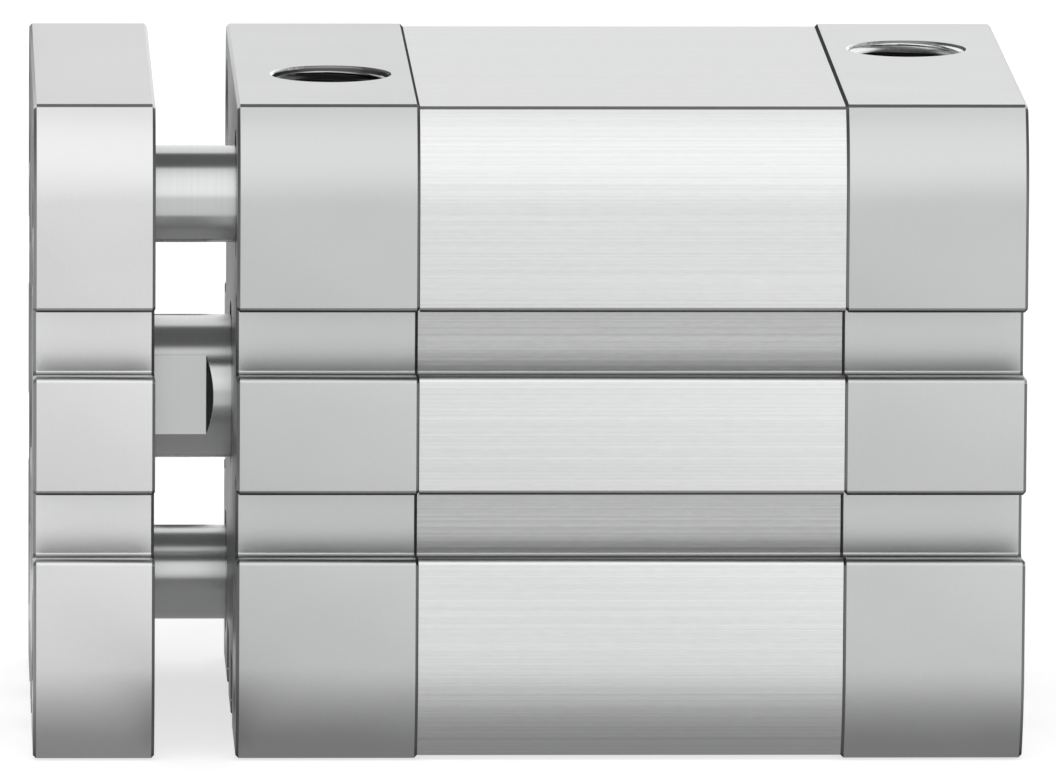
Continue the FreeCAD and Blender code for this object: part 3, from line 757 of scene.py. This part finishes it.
def stageSheet(name, corners, material, glossOnly):
    # one flat face of the studio; glossOnly hides it from everything but reflections
    mesh = bpy.data.meshes.new(name)
    mesh.from_pydata(corners, [], [(0, 1, 2, 3)])
    mesh.materials.append(material)
    sheet = bpy.data.objects.new(name, mesh)
    bpy.context.scene.collection.objects.link(sheet)
    if glossOnly:
        sheet.visible_camera = False
        sheet.visible_diffuse = False
        sheet.visible_transmission = False
        sheet.visible_shadow = False
    return sheet


def flatSheet(name, x0, x1, y0, y1, z, material, glossOnly=False):
    return stageSheet(name, [(x0, y0, z), (x1, y0, z), (x1, y1, z), (x0, y1, z)], material, glossOnly)


def uprightSheet(name, x0, x1, y, z0, z1, material):
    return stageSheet(name, [(x0, y, z0), (x1, y, z0), (x1, y, z1), (x0, y, z1)], material, True)


def bareMaterial(name):
    # a material whose tree is still empty
    material, tree, _ = newMaterial(name)
    tree.nodes.clear()
    return material, tree


def vectorStep(tree, operation, *values):
    # one vector operation on sockets or plain vectors
    return addNode(tree, "ShaderNodeVectorMath", {"operation": operation}, dict(enumerate(values))).outputs


def floorFinish():
    # pale and matt; the camera sees it lifted to white, gloss and glass a little less
    material, tree = bareMaterial("paleFloor")
    path = addNode(tree, "ShaderNodeLightPath").outputs
    indirect = addNode(tree, "ShaderNodeMath", {"operation": "MAXIMUM"},
                       {0: path["Is Glossy Ray"], 1: path["Is Transmission Ray"]}).outputs[0]
    direct = addNode(tree, "ShaderNodeMath", {"operation": "MULTIPLY"},
                     {0: path["Is Camera Ray"], 1: floorStage["lift"]}).outputs[0]
    lift = mixedSum(tree, direct, indirect, floorStage["glossLift"])
    matt = addNode(tree, "ShaderNodeBsdfDiffuse", {}, {"Color": (*floorStage["colour"], 1.0)})
    glow = addNode(tree, "ShaderNodeEmission", {}, {"Strength": lift})
    both = addNode(tree, "ShaderNodeAddShader", {}, {0: matt.outputs[0], 1: glow.outputs[0]})
    addNode(tree, "ShaderNodeOutputMaterial", {}, {"Surface": both.outputs[0]})
    return material


def underFinish(name, values, centre, halfSize):
    # dark inside a rectangle and clear at the margin, a painted shadow for reflections: the share follows
    # the distance from the rectangle
    material, tree = bareMaterial(name)
    place = addNode(tree, "ShaderNodeTexCoord").outputs["Object"]
    fromCentre = vectorStep(tree, "SUBTRACT", place, centre)[0]
    across = vectorStep(tree, "ABSOLUTE", fromCentre)[0]
    past = vectorStep(tree, "SUBTRACT", across, halfSize)[0]
    outside = vectorStep(tree, "MAXIMUM", past, (0, 0, 0))[0]
    away = vectorStep(tree, "LENGTH", outside)["Value"]
    clear = spread(tree, away, 0.0, 1.0, 0.0, values["margin"])
    glow = addNode(tree, "ShaderNodeEmission", {}, {"Color": grey(values["level"])})
    through = addNode(tree, "ShaderNodeBsdfTransparent")
    mix = addNode(tree, "ShaderNodeMixShader", {}, {0: clear, 1: glow.outputs[0], 2: through.outputs[0]})
    addNode(tree, "ShaderNodeOutputMaterial", {}, {"Surface": mix.outputs[0]})
    return material


def cardFinish():
    # one even dark level, a painted dark reflection on the faces that look toward the cards
    material, tree = bareMaterial("sideCard")
    glow = addNode(tree, "ShaderNodeEmission", {}, {"Color": grey(sideCards["level"])})
    addNode(tree, "ShaderNodeOutputMaterial", {}, {"Surface": glow.outputs[0]})
    return material


def shadeSheet(name, values, x0, x1, y0, y1):
    # a sheet on the floor that only reflections see, a painted shadow over the rectangle
    margin = values["margin"]
    centre = ((x0 + x1) / 2, (y0 + y1) / 2, 0)
    halfSize = ((x1 - x0) / 2, (y1 - y0) / 2, 1)
    material = underFinish(name, values, centre, halfSize)
    z = low.z - values["gap"]
    flatSheet(name, x0 - margin, x1 + margin, y0 - margin, y1 + margin, z, material, True)


low, high = Vector(cadBounds[0]), Vector(cadBounds[1])
size = floorStage["size"]
flatSheet("floor", -size, size, -size, size, low.z - floorStage["gap"], floorFinish())
shadeSheet("under_shade", underShade, low.x, high.x, low.y, high.y)
rodSpan = (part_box("front_cover")[1].x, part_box("yoke_plate")[0].x)
shadeSheet("rod_shade", rodShade, *rodSpan, high.y, rodShade["front"])
cardMaterial = cardFinish()
for number, (start, end, top) in enumerate(sideCards["spans"]):
    uprightSheet("side_card_%d" % number, start, end, sideCards["y"], low.z, top, cardMaterial)


def studioWorld():
    # the level follows the angle round the X axis, front over top to back, and sinks at the sides
    world = bpy.data.worlds.new("studio")
    bpy.context.scene.world = world
    world.use_nodes = True
    tree = world.node_tree
    direction = addNode(tree, "ShaderNodeTexCoord").outputs["Generated"]
    split = addNode(tree, "ShaderNodeSeparateXYZ", {}, {0: direction}).outputs
    angle = addNode(tree, "ShaderNodeMath", {"operation": "ARCTAN2"}, {0: split["Z"], 1: split["Y"]})
    share = spread(tree, angle.outputs[0], 0.0, 1.0, -math.pi, math.pi)
    ramp = addNode(tree, "ShaderNodeValToRGB", {}, {"Fac": share})
    stops = ramp.color_ramp.elements
    while len(stops) < len(studio["panels"]):
        stops.new(0.5)
    for stop, (degrees, level) in zip(stops, studio["panels"]):
        stop.position = degrees / 360 + 0.5
        stop.color = grey(level)
    aside = addNode(tree, "ShaderNodeMath", {"operation": "ABSOLUTE"}, {0: split["X"]}).outputs[0]
    dim = addNode(tree, "ShaderNodeMapRange", {"interpolation_type": "SMOOTHSTEP"}, {
        "Value": aside, "From Min": studio["sideFrom"], "From Max": studio["sideTo"],
        "To Min": 1.0, "To Max": studio["sideLevel"]}).outputs["Result"]
    background = tree.nodes["Background"]
    tree.links.new(ramp.outputs["Color"], background.inputs["Color"])
    tree.links.new(dim, background.inputs["Strength"])


studioWorld()
bpy.context.scene.view_settings.view_transform = "Standard"


# Camera: a long lens from the front, a little above

view = {"place": (92.51 * mm, 1403.2 * mm, 220.97 * mm), "yaw": math.radians(2.13986),
        "pitch": math.radians(8.96322), "lens": 578.505, "sensor": 36.0}


def photoCamera():
    # looks along -Y turned by yaw and dipped by pitch, with the frame's X axis level in the picture
    data = bpy.data.cameras.new("camera")
    data.lens = view["lens"]
    data.sensor_fit = "HORIZONTAL"
    data.sensor_width = view["sensor"]
    camera = bpy.data.objects.new("camera", data)
    yaw, pitch = view["yaw"], view["pitch"]
    forward = Vector((-math.sin(yaw) * math.cos(pitch), -math.cos(yaw) * math.cos(pitch), -math.sin(pitch)))
    right = Vector((-1, 0, 0))
    right = (right - forward * right.dot(forward)).normalized()
    up = right.cross(forward)
    turn = Matrix((right, up, -forward)).transposed()
    camera.matrix_world = Matrix.Translation(view["place"]) @ turn.to_4x4()
    bpy.context.scene.collection.objects.link(camera)
    bpy.context.scene.camera = camera


photoCamera()
print("studio and camera set")
